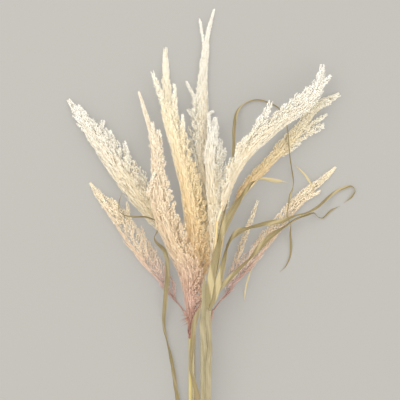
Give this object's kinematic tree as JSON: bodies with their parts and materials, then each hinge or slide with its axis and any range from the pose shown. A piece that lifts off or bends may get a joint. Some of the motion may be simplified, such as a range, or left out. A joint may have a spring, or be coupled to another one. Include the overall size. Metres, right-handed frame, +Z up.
{
  "type": "bundle of pampas grass",
  "caption": "Loose bundle of dried pampas grass lying on its side: slim culms, feathery plumes fanned out from the neck, and long twisted dry leaves.",
  "frame": {"origin": "on the surface the bundle lies on, under the middle of its bounding box", "axes": "+Y runs from the cut ends to the plume tips, +Z up from the surface, +X to the right seen from above with the plumes away from the viewer"},
  "size_m": [0.5238, 0.9006, 0.0936],
  "materials": {
    "culm_yellow": "satin",
    "culm_olive": "satin",
    "plume_cream": "matte",
    "plume_gold": "matte",
    "plume_pink": "matte",
    "leaf_olive": "matte",
    "leaf_straw": "matte"
  },
  "bodies": {
    "root": {"culm_centre_left": "culm_yellow", "culm_left_low": "culm_olive", "culm_left": "culm_olive", "culm_tall": "culm_olive", "culm_right_mid": "culm_olive", "culm_right_low": "culm_olive", "culm_centre": "culm_olive", "culm_centre_right": "culm_olive", "culm_right_high": "culm_olive", "plume_centre_left": "plume_pink", "plume_left_low": "plume_pink", "plume_right_low": "plume_pink", "plume_left": "plume_cream", "plume_tall": "plume_cream", "plume_centre_right": "plume_cream", "plume_right_high": "plume_cream", "plume_centre": "plume_gold", "plume_right_mid": "plume_gold", "leaf_left_hanging": "leaf_olive", "leaf_arch": "leaf_olive", "leaf_low_right": "leaf_olive", "leaf_long_right": "leaf_olive", "leaf_wide_bent": "leaf_olive", "sheath_right": "leaf_olive", "sheath_right_side": "leaf_olive", "sheath_left": "leaf_olive", "leaf_tip_high": "leaf_straw", "leaf_tip_low": "leaf_straw"}
  },
  "joints": []
}
